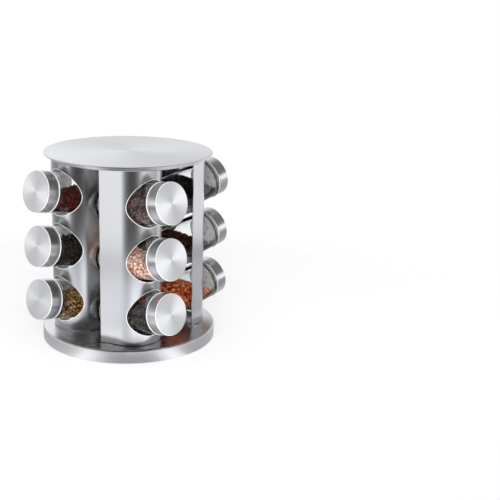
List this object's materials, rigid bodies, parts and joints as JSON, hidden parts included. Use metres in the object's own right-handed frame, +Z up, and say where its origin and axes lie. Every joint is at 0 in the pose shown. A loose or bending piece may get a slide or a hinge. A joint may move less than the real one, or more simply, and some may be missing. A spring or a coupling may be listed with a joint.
{
  "type": "spice carousel",
  "caption": "Revolving steel spice rack: a round base and top joined by bent panels that hold columns of tilted glass jars with steel screw caps.",
  "frame": {"origin": "centre of the round base at the floor, on the turning axis", "axes": "+Z up along the turning axis; the front column of jars points to -Y, the right one to +X"},
  "size_m": [0.2088, 0.2088, 0.2086],
  "materials": {
    "brushed_steel": "satin brushed stainless steel",
    "cap_steel": "spun stainless steel",
    "clear_glass": "clear",
    "sifter_white": "translucent white",
    "foot_black": "moulded",
    "rubber_grey": "matte",
    "ball_steel": "polished",
    "spice_red_flakes": "dry flakes",
    "spice_black": "coarse dark grains",
    "spice_seeds": "dry seeds",
    "spice_brown_mix": "mixed grains",
    "spice_pink_salt": "coarse crystals",
    "spice_dark_pepper": "mixed peppercorns",
    "spice_orange_salt": "coarse crystals",
    "spice_green_leaf": "dried leaves"
  },
  "bodies": {
    "foot": {"foot_plate": "foot_black", "rubber_feet": "rubber_grey"},
    "ball_ring": {"bearing_balls": "ball_steel"},
    "carousel": {"base_pan": "brushed_steel", "upper_race": "foot_black", "pivot": "ball_steel", "panel_front": "brushed_steel", "panel_right": "brushed_steel", "panel_back": "brushed_steel", "panel_left": "brushed_steel", "top_plate": "brushed_steel", "top_cover": "brushed_steel"},
    "jar_body_front_bottom": {"jar_front_bottom": "clear_glass", "sifter_front_bottom": "sifter_white", "spice_front_bottom": "spice_dark_pepper"},
    "cap_body_front_bottom": {"cap_front_bottom": "cap_steel"},
    "jar_body_front_middle": {"jar_front_middle": "clear_glass", "sifter_front_middle": "sifter_white", "spice_front_middle": "spice_pink_salt"},
    "cap_body_front_middle": {"cap_front_middle": "cap_steel"},
    "jar_body_front_top": {"jar_front_top": "clear_glass", "sifter_front_top": "sifter_white", "spice_front_top": "spice_brown_mix"},
    "cap_body_front_top": {"cap_front_top": "cap_steel"},
    "jar_body_right_bottom": {"jar_right_bottom": "clear_glass", "sifter_right_bottom": "sifter_white", "spice_right_bottom": "spice_orange_salt"},
    "cap_body_right_bottom": {"cap_right_bottom": "cap_steel"},
    "jar_body_right_middle": {"jar_right_middle": "clear_glass", "sifter_right_middle": "sifter_white", "spice_right_middle": "spice_red_flakes"},
    "cap_body_right_middle": {"cap_right_middle": "cap_steel"},
    "jar_body_right_top": {"jar_right_top": "clear_glass", "sifter_right_top": "sifter_white", "spice_right_top": "spice_black"},
    "cap_body_right_top": {"cap_right_top": "cap_steel"},
    "jar_body_back_bottom": {"jar_back_bottom": "clear_glass", "sifter_back_bottom": "sifter_white", "spice_back_bottom": "spice_brown_mix"},
    "cap_body_back_bottom": {"cap_back_bottom": "cap_steel"},
    "jar_body_back_middle": {"jar_back_middle": "clear_glass", "sifter_back_middle": "sifter_white", "spice_back_middle": "spice_green_leaf"},
    "cap_body_back_middle": {"cap_back_middle": "cap_steel"},
    "jar_body_back_top": {"jar_back_top": "clear_glass", "sifter_back_top": "sifter_white", "spice_back_top": "spice_seeds"},
    "cap_body_back_top": {"cap_back_top": "cap_steel"},
    "jar_body_left_bottom": {"jar_left_bottom": "clear_glass", "sifter_left_bottom": "sifter_white", "spice_left_bottom": "spice_seeds"},
    "cap_body_left_bottom": {"cap_left_bottom": "cap_steel"},
    "jar_body_left_middle": {"jar_left_middle": "clear_glass", "sifter_left_middle": "sifter_white", "spice_left_middle": "spice_black"},
    "cap_body_left_middle": {"cap_left_middle": "cap_steel"},
    "jar_body_left_top": {"jar_left_top": "clear_glass", "sifter_left_top": "sifter_white", "spice_left_top": "spice_red_flakes"},
    "cap_body_left_top": {"cap_left_top": "cap_steel"}
  },
  "joints": [
    {"name": "carousel_spin", "type": "hinge", "parent": "foot", "child": "carousel", "pos_m": [0, 0, 0.01], "axis": [0, 0, 1], "continuous": true},
    {"name": "ball_orbit", "type": "hinge", "parent": "foot", "child": "ball_ring", "pos_m": [0, 0, 0.0087], "axis": [0, 0, 1], "continuous": true},
    {"name": "jar_pull_front_bottom", "type": "slide", "parent": "carousel", "child": "jar_body_front_bottom", "axis": [0, -0.981, 0.1942], "range_m": [0, 0.085]},
    {"name": "cap_lift_front_bottom", "type": "slide", "parent": "jar_body_front_bottom", "child": "cap_body_front_bottom", "axis": [0, -0.981, 0.1942], "range_m": [0, 0.025]},
    {"name": "jar_pull_front_middle", "type": "slide", "parent": "carousel", "child": "jar_body_front_middle", "axis": [0, -0.981, 0.1942], "range_m": [0, 0.085]},
    {"name": "cap_lift_front_middle", "type": "slide", "parent": "jar_body_front_middle", "child": "cap_body_front_middle", "axis": [0, -0.981, 0.1942], "range_m": [0, 0.025]},
    {"name": "jar_pull_front_top", "type": "slide", "parent": "carousel", "child": "jar_body_front_top", "axis": [0, -0.981, 0.1942], "range_m": [0, 0.085]},
    {"name": "cap_lift_front_top", "type": "slide", "parent": "jar_body_front_top", "child": "cap_body_front_top", "axis": [0, -0.981, 0.1942], "range_m": [0, 0.025]},
    {"name": "jar_pull_right_bottom", "type": "slide", "parent": "carousel", "child": "jar_body_right_bottom", "axis": [0.981, 0, 0.1942], "range_m": [0, 0.085]},
    {"name": "cap_lift_right_bottom", "type": "slide", "parent": "jar_body_right_bottom", "child": "cap_body_right_bottom", "axis": [0.981, 0, 0.1942], "range_m": [0, 0.025]},
    {"name": "jar_pull_right_middle", "type": "slide", "parent": "carousel", "child": "jar_body_right_middle", "axis": [0.981, 0, 0.1942], "range_m": [0, 0.085]},
    {"name": "cap_lift_right_middle", "type": "slide", "parent": "jar_body_right_middle", "child": "cap_body_right_middle", "axis": [0.981, 0, 0.1942], "range_m": [0, 0.025]},
    {"name": "jar_pull_right_top", "type": "slide", "parent": "carousel", "child": "jar_body_right_top", "axis": [0.981, 0, 0.1942], "range_m": [0, 0.085]},
    {"name": "cap_lift_right_top", "type": "slide", "parent": "jar_body_right_top", "child": "cap_body_right_top", "axis": [0.981, 0, 0.1942], "range_m": [0, 0.025]},
    {"name": "jar_pull_back_bottom", "type": "slide", "parent": "carousel", "child": "jar_body_back_bottom", "axis": [0, 0.981, 0.1942], "range_m": [0, 0.085]},
    {"name": "cap_lift_back_bottom", "type": "slide", "parent": "jar_body_back_bottom", "child": "cap_body_back_bottom", "axis": [0, 0.981, 0.1942], "range_m": [0, 0.025]},
    {"name": "jar_pull_back_middle", "type": "slide", "parent": "carousel", "child": "jar_body_back_middle", "axis": [0, 0.981, 0.1942], "range_m": [0, 0.085]},
    {"name": "cap_lift_back_middle", "type": "slide", "parent": "jar_body_back_middle", "child": "cap_body_back_middle", "axis": [0, 0.981, 0.1942], "range_m": [0, 0.025]},
    {"name": "jar_pull_back_top", "type": "slide", "parent": "carousel", "child": "jar_body_back_top", "axis": [0, 0.981, 0.1942], "range_m": [0, 0.085]},
    {"name": "cap_lift_back_top", "type": "slide", "parent": "jar_body_back_top", "child": "cap_body_back_top", "axis": [0, 0.981, 0.1942], "range_m": [0, 0.025]},
    {"name": "jar_pull_left_bottom", "type": "slide", "parent": "carousel", "child": "jar_body_left_bottom", "axis": [-0.981, 0, 0.1942], "range_m": [0, 0.085]},
    {"name": "cap_lift_left_bottom", "type": "slide", "parent": "jar_body_left_bottom", "child": "cap_body_left_bottom", "axis": [-0.981, 0, 0.1942], "range_m": [0, 0.025]},
    {"name": "jar_pull_left_middle", "type": "slide", "parent": "carousel", "child": "jar_body_left_middle", "axis": [-0.981, 0, 0.1942], "range_m": [0, 0.085]},
    {"name": "cap_lift_left_middle", "type": "slide", "parent": "jar_body_left_middle", "child": "cap_body_left_middle", "axis": [-0.981, 0, 0.1942], "range_m": [0, 0.025]},
    {"name": "jar_pull_left_top", "type": "slide", "parent": "carousel", "child": "jar_body_left_top", "axis": [-0.981, 0, 0.1942], "range_m": [0, 0.085]},
    {"name": "cap_lift_left_top", "type": "slide", "parent": "jar_body_left_top", "child": "cap_body_left_top", "axis": [-0.981, 0, 0.1942], "range_m": [0, 0.025]}
  ],
  "couplings": [
    {"joint": "ball_orbit", "follows": "carousel_spin", "ratio": 0.5}
  ]
}
